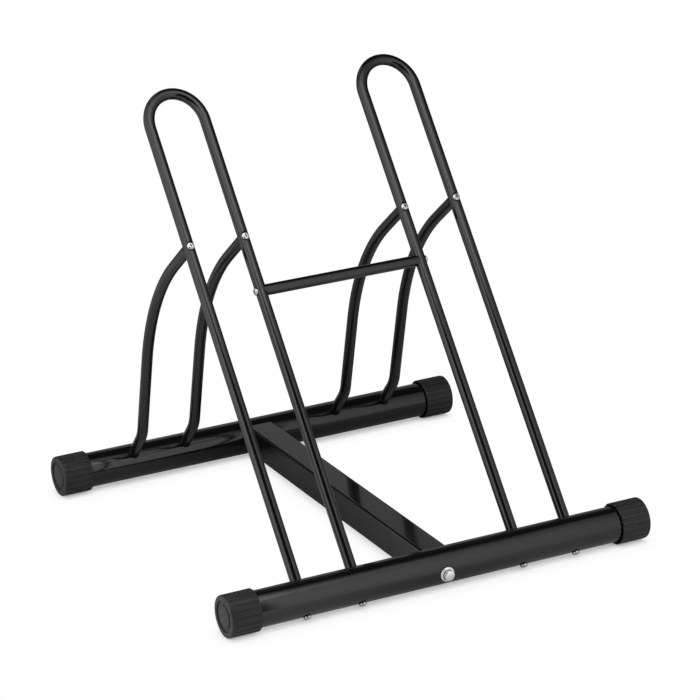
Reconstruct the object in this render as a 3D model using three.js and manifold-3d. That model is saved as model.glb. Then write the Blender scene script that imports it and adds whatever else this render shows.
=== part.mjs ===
// Floor bike rack for two wheels: two wheel loops on a bolted tubular steel base.
// Millimetres. +X runs along the base tubes, +Y is the rear, +Z is up. The floor is z = 0 and the origin
// lies under the middle of the rack.

import * as THREE from 'three';
import { mergeVertices } from 'three/addons/utils/BufferGeometryUtils.js';
import Module from 'manifold-3d';

const wasm = await Module();
wasm.setup();

// ---------------------------------------------------------------- driving dimensions

const OVERALL_LENGTH = 481; // over the end caps
const BASE_SPACING = 424; // front tube axis to rear tube axis
const BASE_TUBE_DIAMETER = 38;
const BASE_TUBE_WALL = 1.5;

const CAP_WALL = 2.7; // bore to the flat crest of a rib
const CAP_LENGTH = 33;
const CAP_MOUTH_CHAMFER = 1.2; // lead-in round the bore
const CAP_END_WALL = 3;
const CAP_RIB_COUNT = 20;
const CAP_RIB_WIDTH = 3.2; // of the flat crest
const CAP_RIB_FLANK = 1; // of each sloping side, around the cap
const CAP_FLUTE_DEPTH = 0.7;
const CAP_RIM_LENGTH = 2.4; // smooth ring at the closed end
const CAP_RIM_DROP = 0.2; // rim below the crests of the ribs
const CAP_EDGE_RADIUS = 1.2;
const CAP_DISC_DIAMETER = 23.6; // inside the groove of the end face
const CAP_GROOVE_WIDTH = 4.6;
const CAP_GROOVE_DEPTH = 1.2;

const ROD_DIAMETER = 12; // loops, struts and crossbar
const ROD_WALL = 1.2;
const SLOT_PITCH = 62; // between the two legs of a loop
const LOOP_OFFSET = 124; // middle of a loop from the middle of the rack
const LOOP_LEAN = 38; // degrees from upright
const LEG_LENGTH = 516.5; // front tube axis to the start of the bend
const ARCH_RISE = 34.5; // height of the bend along the loop

const CROSSBAR_HEIGHT = 322; // along the legs, from the front tube axis
const STRUT_HEIGHT = 381.5; // where a strut meets its leg, measured the same way
const STRUT_HEAD_STRAIGHT = 45; // end of the strut to the start of the upper bend
const STRUT_HEAD_BEND = 82; // start of the upper bend to the corner that it rounds
const STRUT_FOOT_ANGLE = 41.5; // degrees from upright, towards the front
const STRUT_FOOT_STRAIGHT = 32; // surface of the rear tube to the start of the lower bend
const STRUT_FOOT_BEND = 9; // start of the lower bend to the corner that it rounds

const BEAM_WIDTH = 30;
const BEAM_HEIGHT = 32;
const BEAM_WALL = 1.5;
const BEAM_CORNER_RADIUS = 2.5;
const NUT_PLATE_THICKNESS = 3;
const NUT_PLATE_SETBACK = 3; // base tube surface to the plate

const SCREW_DIAMETER = 4;
const SCREW_HEAD_DIAMETER = 8;
const SCREW_HEAD_HEIGHT = 2.8;
const SCREW_HEAD_CROWN = 1.2; // bevel round the top of the head
const SCREW_RECESS_WIDTH = 4.2;
const SCREW_RECESS_SLOT = 0.9;
const SCREW_RECESS_DEPTH = 1.5;
const SCREW_GRIP = 12; // length of thread in the insert
const SCREW_SEAT_DEPTH = 1.6; // flat seat pressed into a leg, below the crest of the rod
const SCREW_SEAT_CLEARANCE = 0.6; // around the head in its seat, on the radius
const INSERT_LENGTH = 14;

const BOLT_DIAMETER = 6;
const BOLT_TIP_LENGTH = 5.4; // past the nut
const BOLT_TIP_CHAMFER = 0.8;
const BOLT_FLANGE_DIAMETER = 15.5;
const BOLT_FLANGE_THICKNESS = 1.6;
const BOLT_HEX_WIDTH = 10; // across flats
const BOLT_HEAD_HEIGHT = 6;
const BOLT_CORNER_SLOPE = 0.6; // drop of the turned corners for each millimetre out
const BOLT_DROP = 2; // bolt below the axis of the base tube
const NUT_WIDTH = 10; // across flats
const NUT_HEIGHT = 5;

const SEAT_GAP = 0.3; // between pieces that bear on each other
const HOLE_CLEARANCE = 0.3; // around a rod or screw in its hole, on the radius
const INSERT_CLEARANCE = 0.3; // around an insert in its rod, on the radius
const THREAD_CLEARANCE = 0.1; // around a screw in its thread, on the radius
const CUT_MARGIN = 5; // how far a cutting tool runs past the surface

const BASE_TUBE_SIDES = 32;
const CAP_RIM_SIDES = 20;
const CAP_BORE_SIDES = 24;
const ROD_SIDES = 16;
const ROD_HOLE_SIDES = 12;
const SMALL_BORE_SIDES = 8;
const SCREW_SIDES = 10;
const SCREW_SEAT_SIDES = 12;
const BOLT_SIDES = 16;
const ARCH_STEPS = 12;
const HEAD_BEND_STEPS = 5;
const FOOT_BEND_STEPS = 3;
const EDGE_STEPS = 2; // of a small rounded edge

// ---------------------------------------------------------------- derived sizes

const BASE_RADIUS = BASE_TUBE_DIAMETER / 2;
const BASE_BORE_RADIUS = BASE_RADIUS - BASE_TUBE_WALL;
const BASE_TUBE_LENGTH = OVERALL_LENGTH - 2 * (CAP_END_WALL + SEAT_GAP);
const CAP_BORE_RADIUS = BASE_RADIUS + HOLE_CLEARANCE;
const CAP_RADIUS = CAP_BORE_RADIUS + CAP_WALL;
const AXIS_HEIGHT = CAP_RADIUS; // the caps carry the tubes clear of the floor
const ROD_RADIUS = ROD_DIAMETER / 2;
const ROD_BORE_RADIUS = ROD_RADIUS - ROD_WALL;
const INNER_LEG_X = LOOP_OFFSET - SLOT_PITCH / 2;
const OUTER_LEG_X = LOOP_OFFSET + SLOT_PITCH / 2;
// A strut stands behind each leg.
const LEGS = [
  ['left_outer', -OUTER_LEG_X],
  ['left_inner', -INNER_LEG_X],
  ['right_inner', INNER_LEG_X],
  ['right_outer', OUTER_LEG_X],
];
// A square-cut rod end comes to rest on the far wall of the tube, on the edge of its face.
const ROD_FOOT_DEPTH = Math.sqrt(BASE_BORE_RADIUS ** 2 - ROD_RADIUS ** 2) - SEAT_GAP;
const ROD_SEAT = ROD_RADIUS + SEAT_GAP;
const HEAD_SEAT = ROD_SEAT - SCREW_SEAT_DEPTH; // axis of a leg to the screw head that bears on it
const SEAT_POCKET_RADIUS = SCREW_HEAD_DIAMETER / 2 + SCREW_SEAT_CLEARANCE;
const TUBE_SEAT = BASE_RADIUS + SEAT_GAP;
const PLATE_SEAT = BASE_RADIUS + NUT_PLATE_SETBACK + NUT_PLATE_THICKNESS;
const BOLT_LENGTH = TUBE_SEAT + PLATE_SEAT + SEAT_GAP + NUT_HEIGHT + BOLT_TIP_LENGTH;

const radians = THREE.MathUtils.degToRad;
// Directions in the YZ plane.
const upLeg = new THREE.Vector2(Math.sin(radians(LOOP_LEAN)), Math.cos(radians(LOOP_LEAN)));
const behindLeg = new THREE.Vector2(upLeg.y, -upLeg.x);
const upStrutFoot = new THREE.Vector2(
  -Math.sin(radians(STRUT_FOOT_ANGLE)),
  Math.cos(radians(STRUT_FOOT_ANGLE)),
);

// ---------------------------------------------------------------- materials

const glossPaint = () => new THREE.MeshStandardMaterial({ color: 0x0b0b0c, roughness: 0.16, metalness: 0 });
const capPlastic = () => new THREE.MeshStandardMaterial({ color: 0x26272a, roughness: 0.6, metalness: 0 });
const zincPlate = () => new THREE.MeshStandardMaterial({ color: 0xc9ccd0, roughness: 0.3, metalness: 1 });
const bareSteel = () => new THREE.MeshStandardMaterial({ color: 0x8b8d90, roughness: 0.45, metalness: 1 });

// ---------------------------------------------------------------- solids and outlines

function toSolid(geometry, matrix = new THREE.Matrix4()) {
  const bare = geometry.clone().applyMatrix4(matrix);
  bare.deleteAttribute('normal');
  bare.deleteAttribute('uv');
  const welded = mergeVertices(bare, 1e-4);
  return new wasm.Manifold(new wasm.Mesh({
    numProp: 3,
    vertProperties: new Float32Array(welded.attributes.position.array),
    triVerts: new Uint32Array(welded.index.array),
  }));
}

function toGeometry(solid) {
  const mesh = solid.getMesh();
  const geometry = new THREE.BufferGeometry();
  geometry.setAttribute('position', new THREE.BufferAttribute(new Float32Array(mesh.vertProperties), 3));
  geometry.setIndex(new THREE.BufferAttribute(new Uint32Array(mesh.triVerts), 1));
  geometry.computeVertexNormals();
  return geometry;
}

function polygonPoints(radius, sides) {
  const points = [];
  for (let side = 0; side < sides; side += 1) {
    const angle = (2 * Math.PI * side) / sides;
    points.push(new THREE.Vector2(radius * Math.cos(angle), radius * Math.sin(angle)));
  }
  return points;
}

// The flats of a bore's polygon lie at the bore's radius, so that a round piece of that radius passes.
function borePoints(radius, sides) {
  return polygonPoints(radius / Math.cos(Math.PI / sides), sides);
}

function ringShape(outerPoints, innerPoints) {
  const shape = new THREE.Shape(outerPoints);
  shape.holes.push(new THREE.Path(innerPoints));
  return shape;
}

function prism(shape, length) {
  return new THREE.ExtrudeGeometry(shape, { depth: length, bevelEnabled: false, steps: 1 });
}

// A round cutter from the origin along +Z.
function drill(radius, length, sides = SMALL_BORE_SIDES) {
  return prism(new THREE.Shape(borePoints(radius, sides)), length);
}

function place(x, y, z, turnX = 0, turnY = 0, turnZ = 0) {
  const turn = new THREE.Quaternion().setFromEuler(new THREE.Euler(turnX, turnY, turnZ));
  return new THREE.Matrix4().compose(new THREE.Vector3(x, y, z), turn, new THREE.Vector3(1, 1, 1));
}

const ALONG_X = [0, Math.PI / 2, 0];
const ALONG_Y = [-Math.PI / 2, 0, 0];

function addMesh(parent, name, geometry, material) {
  const mesh = new THREE.Mesh(geometry, material);
  mesh.name = name;
  parent.add(mesh);
  return mesh;
}

// A centreline given by its stations: each has a point and the direction of the rod there, so a straight
// stretch takes two stations and a bend takes one for each of its steps.
class StationCurve extends THREE.Curve {
  constructor(stations) {
    super();
    this.stations = stations;
  }

  getPoint(t) {
    return this.stations[Math.round(t * this.steps)].point.clone();
  }

  getTangent(t) {
    return this.stations[Math.round(t * this.steps)].direction.clone();
  }

  getPointAt(u) {
    return this.getPoint(u);
  }

  getTangentAt(u) {
    return this.getTangent(u);
  }

  get steps() {
    return this.stations.length - 1;
  }
}

function bentRod(stations) {
  const path = new StationCurve(stations);
  const section = ringShape(
    polygonPoints(ROD_RADIUS, ROD_SIDES),
    borePoints(ROD_BORE_RADIUS, SMALL_BORE_SIDES),
  );
  return new THREE.ExtrudeGeometry(section, { steps: path.steps, extrudePath: path });
}

// A rod with an end on a leg's axis, cut back to the curve of the leg. The matrix puts the origin on the
// leg's axis, with local +Z along the leg.
function copedToLeg(rod, matrix) {
  const reach = ROD_RADIUS + CUT_MARGIN;
  const legCut = drill(ROD_SEAT, 2 * reach, ROD_HOLE_SIDES);
  const halfStep = Math.PI / ROD_HOLE_SIDES; // turns a flat of the cut towards the rod
  return rod.subtract(toSolid(legCut, place(0, 0, -reach, 0, 0, halfStep).premultiply(matrix)));
}

function station(x, y, z, directionX, directionY, directionZ) {
  return {
    point: new THREE.Vector3(x, y, z),
    direction: new THREE.Vector3(directionX, directionY, directionZ).normalize(),
  };
}

// Stations of a rod in the YZ plane that runs straight between the corners. Each corner is rounded by an
// arc that starts and ends at the given distance from it.
function roundedStations(corners, bends) {
  const stations = [];
  const addStation = (at, way) => stations.push(station(0, at.x, at.y, 0, way.x, way.y));
  const wayFrom = (index) => corners[index + 1].clone().sub(corners[index]).normalize();
  addStation(corners[0], wayFrom(0));
  bends.forEach(({ distance, steps }, index) => {
    const wayIn = wayFrom(index);
    const wayOut = wayFrom(index + 1);
    const turn = Math.atan2(wayIn.cross(wayOut), wayIn.dot(wayOut));
    const start = corners[index + 1].clone().addScaledVector(wayIn, -distance);
    const toCentre = new THREE.Vector2(-wayIn.y, wayIn.x).multiplyScalar(distance / Math.tan(turn / 2));
    const centre = start.clone().add(toCentre);
    for (let step = 0; step <= steps; step += 1) {
      const angle = (turn * step) / steps;
      const spoke = start.clone().sub(centre).rotateAround(new THREE.Vector2(), angle);
      const way = wayIn.clone().rotateAround(new THREE.Vector2(), angle);
      addStation(centre.clone().add(spoke), way);
    }
  });
  addStation(corners[corners.length - 1], wayFrom(corners.length - 2));
  return stations;
}

// ---------------------------------------------------------------- frames of the two base tubes

const rack = new THREE.Group();

const frontFrame = new THREE.Group();
frontFrame.position.set(0, -BASE_SPACING / 2, AXIS_HEIGHT);
rack.add(frontFrame);

const rearFrame = new THREE.Group();
rearFrame.position.set(0, BASE_SPACING / 2, AXIS_HEIGHT);
rack.add(rearFrame);

// Local +Z runs up the legs of the loops, and local +Y points from the legs to the struts.
const legFrame = new THREE.Group();
legFrame.rotation.x = -radians(LOOP_LEAN);
frontFrame.add(legFrame);

// Local +Z runs up the feet of the struts.
const strutFootFrame = new THREE.Group();
strutFootFrame.rotation.x = radians(STRUT_FOOT_ANGLE);
rearFrame.add(strutFootFrame);

// ---------------------------------------------------------------- base tubes

// The rods lean by tilt, and each stands in a hole in the tube's upper side with its screw hole opposite.
function baseTube(tilt) {
  const section = ringShape(
    polygonPoints(BASE_RADIUS, BASE_TUBE_SIDES),
    borePoints(BASE_BORE_RADIUS, BASE_TUBE_SIDES),
  );
  const cutLength = BASE_RADIUS + CUT_MARGIN;
  let tube = toSolid(prism(section, BASE_TUBE_LENGTH), place(-BASE_TUBE_LENGTH / 2, 0, 0, ...ALONG_X));
  const rodHole = drill(ROD_RADIUS + HOLE_CLEARANCE, cutLength, ROD_HOLE_SIDES);
  const screwHole = drill(SCREW_DIAMETER / 2 + HOLE_CLEARANCE, cutLength);
  for (const [, x] of LEGS) {
    tube = tube.subtract(toSolid(rodHole, place(x, 0, 0, tilt)));
    tube = tube.subtract(toSolid(screwHole, place(x, 0, 0, tilt + Math.PI)));
  }
  const boltHole = drill(BOLT_DIAMETER / 2 + HOLE_CLEARANCE, 2 * cutLength);
  tube = tube.subtract(toSolid(boltHole, place(0, -cutLength, -BOLT_DROP, ...ALONG_Y)));
  return toGeometry(tube);
}

addMesh(frontFrame, 'front_base_tube', baseTube(-radians(LOOP_LEAN)), glossPaint());
addMesh(rearFrame, 'rear_base_tube', baseTube(radians(STRUT_FOOT_ANGLE)), glossPaint());

// ---------------------------------------------------------------- ribbed end caps

// A flat crest at each rib, and a shallow flute between two ribs. The first rib points along -Y.
function ribbedOutline() {
  const root = CAP_RADIUS - CAP_FLUTE_DEPTH;
  const crestHalfAngle = Math.atan2(CAP_RIB_WIDTH / 2, CAP_RADIUS);
  const crestCorner = CAP_RADIUS / Math.cos(crestHalfAngle);
  const footHalfAngle = crestHalfAngle + CAP_RIB_FLANK / CAP_RADIUS;
  const points = [];
  for (let rib = 0; rib < CAP_RIB_COUNT; rib += 1) {
    const middle = (2 * Math.PI * rib) / CAP_RIB_COUNT - Math.PI / 2;
    for (const [radius, angle] of [
      [root, middle - footHalfAngle],
      [crestCorner, middle - crestHalfAngle],
      [crestCorner, middle + crestHalfAngle],
      [root, middle + footHalfAngle],
    ]) {
      points.push(new THREE.Vector2(radius * Math.cos(angle), radius * Math.sin(angle)));
    }
  }
  return points;
}

// The smooth ring that closes the cap, with its outer edge rounded.
function capRim() {
  const radius = CAP_RADIUS - CAP_RIM_DROP;
  const profile = [new THREE.Vector2(0, 0), new THREE.Vector2(radius, 0)];
  for (let step = 0; step <= EDGE_STEPS; step += 1) {
    const angle = (Math.PI / 2) * (step / EDGE_STEPS);
    profile.push(new THREE.Vector2(
      radius - CAP_EDGE_RADIUS * (1 - Math.cos(angle)),
      CAP_RIM_LENGTH - CAP_EDGE_RADIUS * (1 - Math.sin(angle)),
    ));
  }
  profile.push(new THREE.Vector2(0, CAP_RIM_LENGTH));
  return new THREE.LatheGeometry(profile, CAP_RIM_SIDES);
}

// The bore opens out over the chamfer at the mouth. Its flats lie at the bore's radius.
function capBore() {
  const flatsToCorners = 1 / Math.cos(Math.PI / CAP_BORE_SIDES);
  const corner = CAP_BORE_RADIUS * flatsToCorners;
  const depth = CAP_LENGTH - CAP_END_WALL;
  return new THREE.LatheGeometry([
    new THREE.Vector2(0, -CAP_MOUTH_CHAMFER),
    new THREE.Vector2(corner + 2 * CAP_MOUTH_CHAMFER, -CAP_MOUTH_CHAMFER),
    new THREE.Vector2(corner, CAP_MOUTH_CHAMFER),
    new THREE.Vector2(corner, depth),
    new THREE.Vector2(0, depth),
  ], CAP_BORE_SIDES);
}

// The cap's mouth is at the origin and its closed end points along +Z.
function endCap() {
  const ribbedLength = CAP_LENGTH - CAP_RIM_LENGTH;
  const ribbed = toSolid(prism(new THREE.Shape(ribbedOutline()), ribbedLength));
  let cap = ribbed.add(toSolid(capRim(), place(0, 0, ribbedLength, Math.PI / 2)));
  cap = cap.subtract(toSolid(capBore(), place(0, 0, 0, Math.PI / 2)));
  const discRadius = CAP_DISC_DIAMETER / 2;
  const groove = prism(
    ringShape(
      polygonPoints(discRadius + CAP_GROOVE_WIDTH, CAP_RIM_SIDES),
      polygonPoints(discRadius, CAP_RIM_SIDES),
    ),
    CUT_MARGIN,
  );
  cap = cap.subtract(toSolid(groove, place(0, 0, CAP_LENGTH - CAP_GROOVE_DEPTH)));
  return toGeometry(cap);
}

// Each cap stands with a crest at the bottom, flat on the floor.
for (const [row, frame] of [['front', frontFrame], ['rear', rearFrame]]) {
  for (const [hand, side] of [['left', -1], ['right', 1]]) {
    const cap = addMesh(frame, `${row}_${hand}_end_cap`, endCap(), capPlastic());
    cap.position.x = side * (OVERALL_LENGTH / 2 - CAP_LENGTH);
    cap.rotation.set(Math.PI / 2, (side * Math.PI) / 2, 0);
  }
}

// ---------------------------------------------------------------- wheel loops

// One rod: up a leg, over the arch, which is half an ellipse, and down the other leg.
function loopStations() {
  const halfPitch = SLOT_PITCH / 2;
  const stations = [station(-halfPitch, 0, -ROD_FOOT_DEPTH, 0, 0, 1)];
  for (let step = 0; step <= ARCH_STEPS; step += 1) {
    const angle = (Math.PI * step) / ARCH_STEPS;
    const across = Math.cos(angle);
    const along = Math.sin(angle);
    stations.push(station(
      -halfPitch * across, 0, LEG_LENGTH + ARCH_RISE * along,
      halfPitch * along, 0, ARCH_RISE * across,
    ));
  }
  stations.push(station(halfPitch, 0, -ROD_FOOT_DEPTH, 0, 0, -1));
  return stations;
}

// A screw hole through a leg, whose wall is pressed in to a flat seat for the head. The matrix puts the
// origin on the leg's axis, with local +Z out through the seat and local +Y along the leg.
function addScrewSeat(loop, matrix) {
  const at = (...placing) => place(...placing).premultiply(matrix);
  const level = ROD_RADIUS - SCREW_SEAT_DEPTH;
  const floorLength = 2 * (SEAT_POCKET_RADIUS + ROD_WALL);
  const midWall = ROD_RADIUS - ROD_WALL / 2;
  const core = prism(new THREE.Shape(polygonPoints(midWall, ROD_SIDES)), floorLength);
  const floorHeight = midWall - level + ROD_WALL;
  const slab = new THREE.BoxGeometry(ROD_DIAMETER, floorLength, floorHeight);
  const pressedIn = toSolid(core, at(0, -floorLength / 2, 0, ...ALONG_Y))
    .intersect(toSolid(slab, at(0, 0, midWall - floorHeight / 2)));
  const pocket = drill(SEAT_POCKET_RADIUS, SCREW_SEAT_DEPTH + CUT_MARGIN, SCREW_SEAT_SIDES);
  const hole = drill(SCREW_DIAMETER / 2 + HOLE_CLEARANCE, 2 * (ROD_RADIUS + CUT_MARGIN));
  return loop
    .add(pressedIn)
    .subtract(toSolid(pocket, at(0, 0, level)))
    .subtract(toSolid(hole, at(0, 0, -ROD_RADIUS - CUT_MARGIN)));
}

// innerSide is the side, -1 or +1, of the leg that carries the crossbar.
function wheelLoop(innerSide) {
  let loop = toSolid(bentRod(loopStations()));
  for (const x of [-SLOT_PITCH / 2, SLOT_PITCH / 2]) {
    loop = addScrewSeat(loop, place(x, 0, STRUT_HEIGHT, Math.PI / 2));
  }
  const innerLeg = (innerSide * SLOT_PITCH) / 2;
  const facingSlot = place(innerLeg, 0, CROSSBAR_HEIGHT, Math.PI / 2, (-innerSide * Math.PI) / 2);
  return toGeometry(addScrewSeat(loop, facingSlot));
}

for (const [hand, side] of [['left', -1], ['right', 1]]) {
  const loop = addMesh(legFrame, `${hand}_wheel_loop`, wheelLoop(-side), glossPaint());
  loop.position.x = side * LOOP_OFFSET;
}

// ---------------------------------------------------------------- rear struts

function rearStrut() {
  const frontAxis = new THREE.Vector2(-BASE_SPACING / 2, AXIS_HEIGHT);
  const rearAxis = new THREE.Vector2(BASE_SPACING / 2, AXIS_HEIGHT);
  const onLeg = frontAxis.clone().addScaledVector(upLeg, STRUT_HEIGHT);
  const headReach = ROD_SEAT + STRUT_HEAD_STRAIGHT + STRUT_HEAD_BEND;
  const footReach = BASE_RADIUS + STRUT_FOOT_STRAIGHT + STRUT_FOOT_BEND;
  const corners = [
    onLeg,
    onLeg.clone().addScaledVector(behindLeg, headReach),
    rearAxis.clone().addScaledVector(upStrutFoot, footReach),
    rearAxis.clone().addScaledVector(upStrutFoot, -ROD_FOOT_DEPTH),
  ];
  const bends = [
    { distance: STRUT_HEAD_BEND, steps: HEAD_BEND_STEPS },
    { distance: STRUT_FOOT_BEND, steps: FOOT_BEND_STEPS },
  ];
  const strut = toSolid(bentRod(roundedStations(corners, bends)));
  return toGeometry(copedToLeg(strut, place(0, onLeg.x, onLeg.y, -radians(LOOP_LEAN))));
}

for (const [name, x] of LEGS) {
  const strut = addMesh(rack, `${name}_strut`, rearStrut(), glossPaint());
  strut.position.x = x;
}

// ---------------------------------------------------------------- crossbar

function crossbarTube() {
  let bar = toSolid(bentRod([station(-INNER_LEG_X, 0, 0, 1, 0, 0), station(INNER_LEG_X, 0, 0, 1, 0, 0)]));
  for (const legX of [-INNER_LEG_X, INNER_LEG_X]) {
    bar = copedToLeg(bar, place(legX, 0, 0));
  }
  return toGeometry(bar);
}

const crossbar = addMesh(legFrame, 'crossbar', crossbarTube(), glossPaint());
crossbar.position.z = CROSSBAR_HEIGHT;

// ---------------------------------------------------------------- centre beam

function roundedRectangle(width, height, radius) {
  const points = [];
  for (const [quarter, sideX, sideY] of [[0, 1, 1], [1, -1, 1], [2, -1, -1], [3, 1, -1]]) {
    for (let step = 0; step <= EDGE_STEPS; step += 1) {
      const angle = (Math.PI / 2) * (quarter + step / EDGE_STEPS);
      points.push(new THREE.Vector2(
        sideX * (width / 2 - radius) + radius * Math.cos(angle),
        sideY * (height / 2 - radius) + radius * Math.sin(angle),
      ));
    }
  }
  return points;
}

const BEAM_BORE_WIDTH = BEAM_WIDTH - 2 * BEAM_WALL;
const BEAM_BORE_HEIGHT = BEAM_HEIGHT - 2 * BEAM_WALL;
const BEAM_BORE_RADIUS = BEAM_CORNER_RADIUS - BEAM_WALL;

// A box tube whose two ends are cut to the curve of the base tubes.
function centreBeam() {
  const section = ringShape(
    roundedRectangle(BEAM_WIDTH, BEAM_HEIGHT, BEAM_CORNER_RADIUS),
    roundedRectangle(BEAM_BORE_WIDTH, BEAM_BORE_HEIGHT, BEAM_BORE_RADIUS),
  );
  let beam = toSolid(prism(section, BASE_SPACING), place(0, -BASE_SPACING / 2, 0, ...ALONG_Y));
  const tubeCut = drill(TUBE_SEAT, BEAM_WIDTH + 2 * CUT_MARGIN, BASE_TUBE_SIDES);
  const cutStart = -BEAM_WIDTH / 2 - CUT_MARGIN;
  for (const end of [-1, 1]) {
    beam = beam.subtract(toSolid(tubeCut, place(cutStart, (end * BASE_SPACING) / 2, 0, ...ALONG_X)));
  }
  const pieces = beam.decompose().sort((first, second) => second.volume() - first.volume());
  return toGeometry(pieces[0]);
}

const beam = addMesh(rack, 'centre_beam', centreBeam(), glossPaint());
beam.position.z = AXIS_HEIGHT;

// ---------------------------------------------------------------- beam bolts and nuts

function hexagon(acrossFlats) {
  return new THREE.Shape(borePoints(acrossFlats / 2, 6));
}

// The seat of the flange is at the origin, the head points along +Z and the shank along -Z.
function flangeBolt() {
  const shankRadius = BOLT_DIAMETER / 2;
  const flangeRadius = BOLT_FLANGE_DIAMETER / 2;
  const hexRadius = BOLT_HEX_WIDTH / 2;
  const hexCorner = hexRadius / Math.cos(Math.PI / 6);
  const upright = place(0, 0, 0, Math.PI / 2);
  const body = new THREE.LatheGeometry([
    new THREE.Vector2(0, -BOLT_LENGTH),
    new THREE.Vector2(shankRadius - BOLT_TIP_CHAMFER, -BOLT_LENGTH),
    new THREE.Vector2(shankRadius, -BOLT_LENGTH + BOLT_TIP_CHAMFER),
    new THREE.Vector2(shankRadius, 0),
    new THREE.Vector2(flangeRadius, 0),
    new THREE.Vector2(flangeRadius, BOLT_FLANGE_THICKNESS / 2),
    new THREE.Vector2(hexRadius, BOLT_FLANGE_THICKNESS),
    new THREE.Vector2(0, BOLT_FLANGE_THICKNESS),
  ], BOLT_SIDES);
  // The corners of the hexagon are turned down towards the top of the head.
  const turned = new THREE.LatheGeometry([
    new THREE.Vector2(0, 0),
    new THREE.Vector2(flangeRadius, 0),
    new THREE.Vector2(flangeRadius, BOLT_HEAD_HEIGHT - (flangeRadius - hexRadius) * BOLT_CORNER_SLOPE),
    new THREE.Vector2(hexRadius, BOLT_HEAD_HEIGHT),
    new THREE.Vector2(0, BOLT_HEAD_HEIGHT),
  ], BOLT_SIDES);
  const hexHead = toSolid(prism(hexagon(BOLT_HEX_WIDTH), BOLT_HEAD_HEIGHT));
  return toGeometry(toSolid(body, upright).add(hexHead.intersect(toSolid(turned, upright))));
}

// A loose fit in the bore of the beam, with its hole below the middle.
function nutPlate() {
  const plate = new THREE.Shape(roundedRectangle(
    BEAM_BORE_WIDTH - 2 * SEAT_GAP,
    BEAM_BORE_HEIGHT - 2 * SEAT_GAP,
    BEAM_BORE_RADIUS,
  ));
  const hole = borePoints(BOLT_DIAMETER / 2 + HOLE_CLEARANCE, SMALL_BORE_SIDES);
  hole.forEach((point) => point.setY(point.y - BOLT_DROP));
  plate.holes.push(new THREE.Path(hole));
  return prism(plate, NUT_PLATE_THICKNESS);
}

function hexNut() {
  const nut = hexagon(NUT_WIDTH);
  nut.holes.push(new THREE.Path(borePoints(BOLT_DIAMETER / 2 + THREAD_CLEARANCE, SMALL_BORE_SIDES)));
  return prism(nut, NUT_HEIGHT);
}

// In a bolt frame, +Z points out of the rack along the bolt and +Y points up.
for (const [row, frame, turn] of [['front', frontFrame, 0], ['rear', rearFrame, Math.PI]]) {
  const boltFrame = new THREE.Group();
  boltFrame.rotation.set(Math.PI / 2, turn, 0);
  frame.add(boltFrame);
  const bolt = addMesh(boltFrame, `${row}_beam_bolt`, flangeBolt(), zincPlate());
  bolt.position.set(0, -BOLT_DROP, TUBE_SEAT);
  const plate = addMesh(boltFrame, `${row}_nut_plate`, nutPlate(), bareSteel());
  plate.position.z = -PLATE_SEAT;
  const nut = addMesh(boltFrame, `${row}_weld_nut`, hexNut(), bareSteel());
  nut.position.set(0, -BOLT_DROP, -PLATE_SEAT - SEAT_GAP - NUT_HEIGHT);
}

// ---------------------------------------------------------------- screws and threaded inserts

// The seat of the head is at the origin, the head points along +Z and the shank along -Z.
function panHeadScrew(length) {
  const headRadius = SCREW_HEAD_DIAMETER / 2;
  const shankRadius = SCREW_DIAMETER / 2;
  const body = new THREE.LatheGeometry([
    new THREE.Vector2(0, -length),
    new THREE.Vector2(shankRadius, -length),
    new THREE.Vector2(shankRadius, 0),
    new THREE.Vector2(headRadius, 0),
    new THREE.Vector2(headRadius, SCREW_HEAD_HEIGHT - SCREW_HEAD_CROWN),
    new THREE.Vector2(headRadius - SCREW_HEAD_CROWN, SCREW_HEAD_HEIGHT),
    new THREE.Vector2(0, SCREW_HEAD_HEIGHT),
  ], SCREW_SIDES);
  let screw = toSolid(body, place(0, 0, 0, Math.PI / 2));
  const slot = new THREE.BoxGeometry(SCREW_RECESS_WIDTH, SCREW_RECESS_SLOT, 2 * SCREW_RECESS_DEPTH);
  for (const turn of [0, Math.PI / 2]) {
    screw = screw.subtract(toSolid(slot, place(0, 0, SCREW_HEAD_HEIGHT, 0, 0, turn)));
  }
  return toGeometry(screw);
}

// Its outer face is at the origin, flush with the rod's end, and it reaches along -Z.
function threadedInsert() {
  const outer = borePoints(ROD_BORE_RADIUS - INSERT_CLEARANCE, SMALL_BORE_SIDES);
  const thread = borePoints(SCREW_DIAMETER / 2 + THREAD_CLEARANCE, SMALL_BORE_SIDES);
  return prism(ringShape(outer, thread), INSERT_LENGTH).translate(0, 0, -INSERT_LENGTH);
}

// A screw at its seat and the insert that it pulls on, which lies seatToRod deeper, in the rod's end.
function addFastening(parent, name, matrix, seatToRod) {
  const frame = new THREE.Group();
  frame.applyMatrix4(matrix);
  parent.add(frame);
  addMesh(frame, `${name}_screw`, panHeadScrew(seatToRod + SCREW_GRIP), zincPlate());
  const insert = addMesh(frame, `${name}_insert`, threadedInsert(), bareSteel());
  insert.position.z = -seatToRod;
}

for (const [name, x] of LEGS) {
  const underTube = place(x, 0, -TUBE_SEAT, Math.PI);
  const frontOfLeg = place(x, -HEAD_SEAT, STRUT_HEIGHT, Math.PI / 2);
  addFastening(legFrame, `${name}_leg_foot`, underTube, TUBE_SEAT - ROD_FOOT_DEPTH);
  addFastening(legFrame, `${name}_strut_head`, frontOfLeg, HEAD_SEAT + ROD_SEAT);
  addFastening(strutFootFrame, `${name}_strut_foot`, underTube, TUBE_SEAT - ROD_FOOT_DEPTH);
}

for (const [hand, side] of [['left', -1], ['right', 1]]) {
  const besideLeg = place(side * (INNER_LEG_X + HEAD_SEAT), 0, CROSSBAR_HEIGHT, 0, (side * Math.PI) / 2);
  addFastening(legFrame, `${hand}_crossbar`, besideLeg, HEAD_SEAT + ROD_SEAT);
}

export default rack;
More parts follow.
